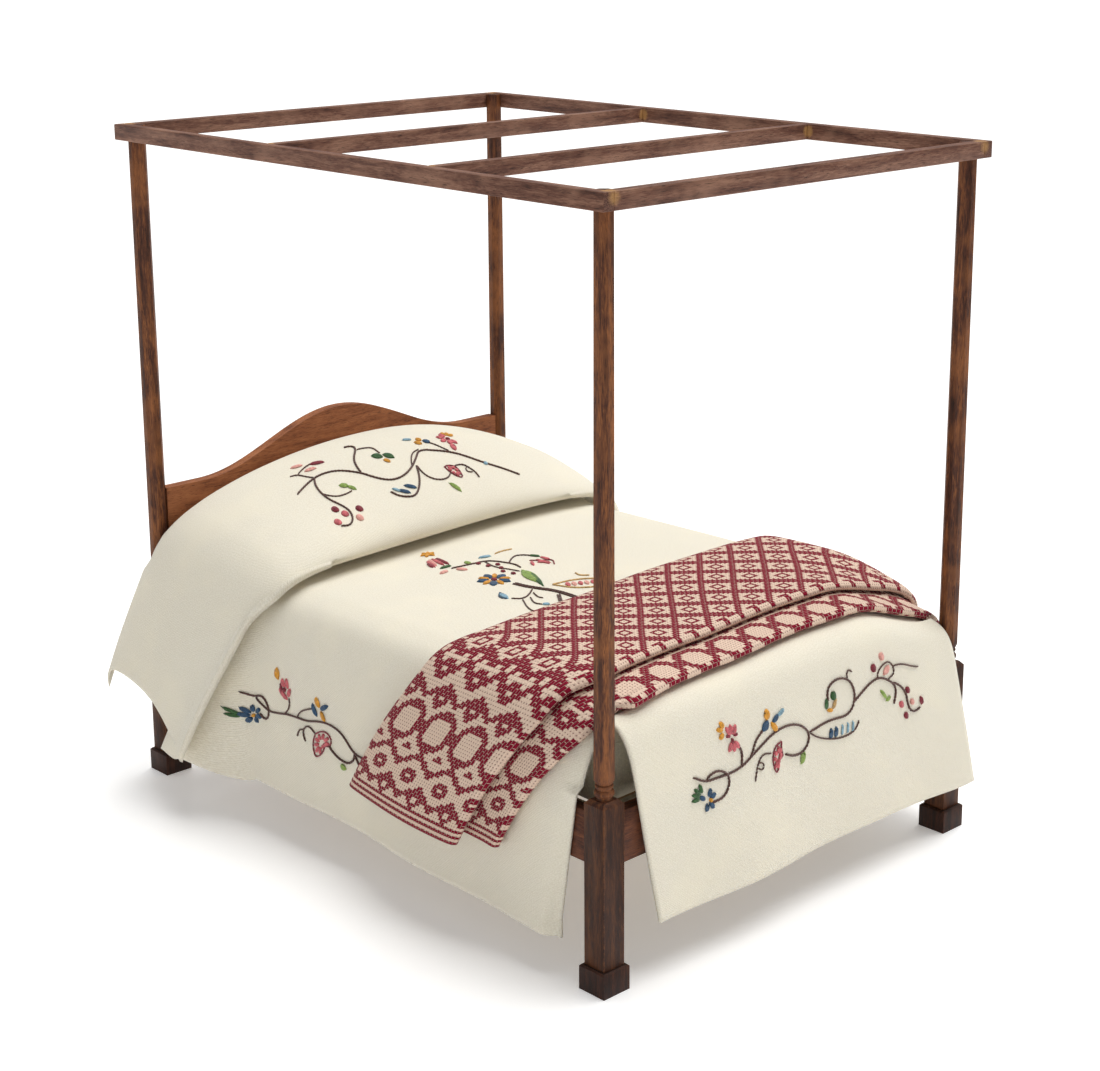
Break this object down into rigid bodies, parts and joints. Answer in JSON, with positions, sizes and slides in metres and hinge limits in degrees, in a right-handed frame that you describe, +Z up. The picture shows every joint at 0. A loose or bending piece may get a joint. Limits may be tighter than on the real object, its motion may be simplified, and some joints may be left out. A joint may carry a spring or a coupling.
{
  "type": "miniature four poster bed",
  "caption": "Dolls' house four poster bed with open flat tester, pencil posts, serpentine headboard, embroidered coverlet and folded woven throw.",
  "frame": {"origin": "on the floor under the middle of the bed", "axes": "+Z up, +Y from the foot of the bed to its headboard, +X to the right of someone standing at the foot and facing the headboard"},
  "size_m": [0.1482, 0.182, 0.1745],
  "materials": {
    "foot_wood": "stained, worn edges",
    "post_wood": "stained satin",
    "tester_wood": "stained satin",
    "headboard_wood": "stained satin",
    "rail_wood": "stained satin",
    "slat_wood": "bare, sanded",
    "mattress_ticking": "striped cotton ticking",
    "pillow_linen": "plain linen",
    "coverlet_wool": "fine wool twill with crewel embroidery",
    "throw_weave": "two-colour overshot weave"
  },
  "bodies": {
    "bedstead": {"foot_head_left": "foot_wood", "foot_head_right": "foot_wood", "foot_foot_left": "foot_wood", "foot_foot_right": "foot_wood", "post_head_left": "post_wood", "post_head_right": "post_wood", "post_foot_left": "post_wood", "post_foot_right": "post_wood", "tester_rail_left": "tester_wood", "tester_rail_right": "tester_wood", "tester_rail_head": "tester_wood", "tester_rail_foot": "tester_wood", "tester_slat_head": "tester_wood", "tester_slat_foot": "tester_wood", "headboard": "headboard_wood", "side_rail_left": "rail_wood", "side_rail_right": "rail_wood", "head_rail": "rail_wood", "foot_rail": "rail_wood", "ledger_left": "slat_wood", "ledger_right": "slat_wood", "bed_slat_1": "slat_wood", "bed_slat_2": "slat_wood", "bed_slat_3": "slat_wood", "bed_slat_4": "slat_wood", "bed_slat_5": "slat_wood", "bed_slat_6": "slat_wood", "bed_slat_7": "slat_wood"},
    "mattress": {"mattress": "mattress_ticking", "pillow_left": "pillow_linen", "pillow_right": "pillow_linen"},
    "coverlet": {"coverlet": "coverlet_wool"},
    "throw_blanket": {"throw_blanket": "throw_weave"}
  },
  "joints": [
    {"name": "mattress_lift", "type": "slide", "parent": "bedstead", "child": "mattress", "axis": [0, 0, 1], "range_m": [0, 0.025]},
    {"name": "coverlet_lift", "type": "slide", "parent": "mattress", "child": "coverlet", "axis": [0, 0, 1], "range_m": [0, 0.025]},
    {"name": "throw_lift", "type": "slide", "parent": "coverlet", "child": "throw_blanket", "axis": [0, 0, 1], "range_m": [0, 0.025]}
  ]
}
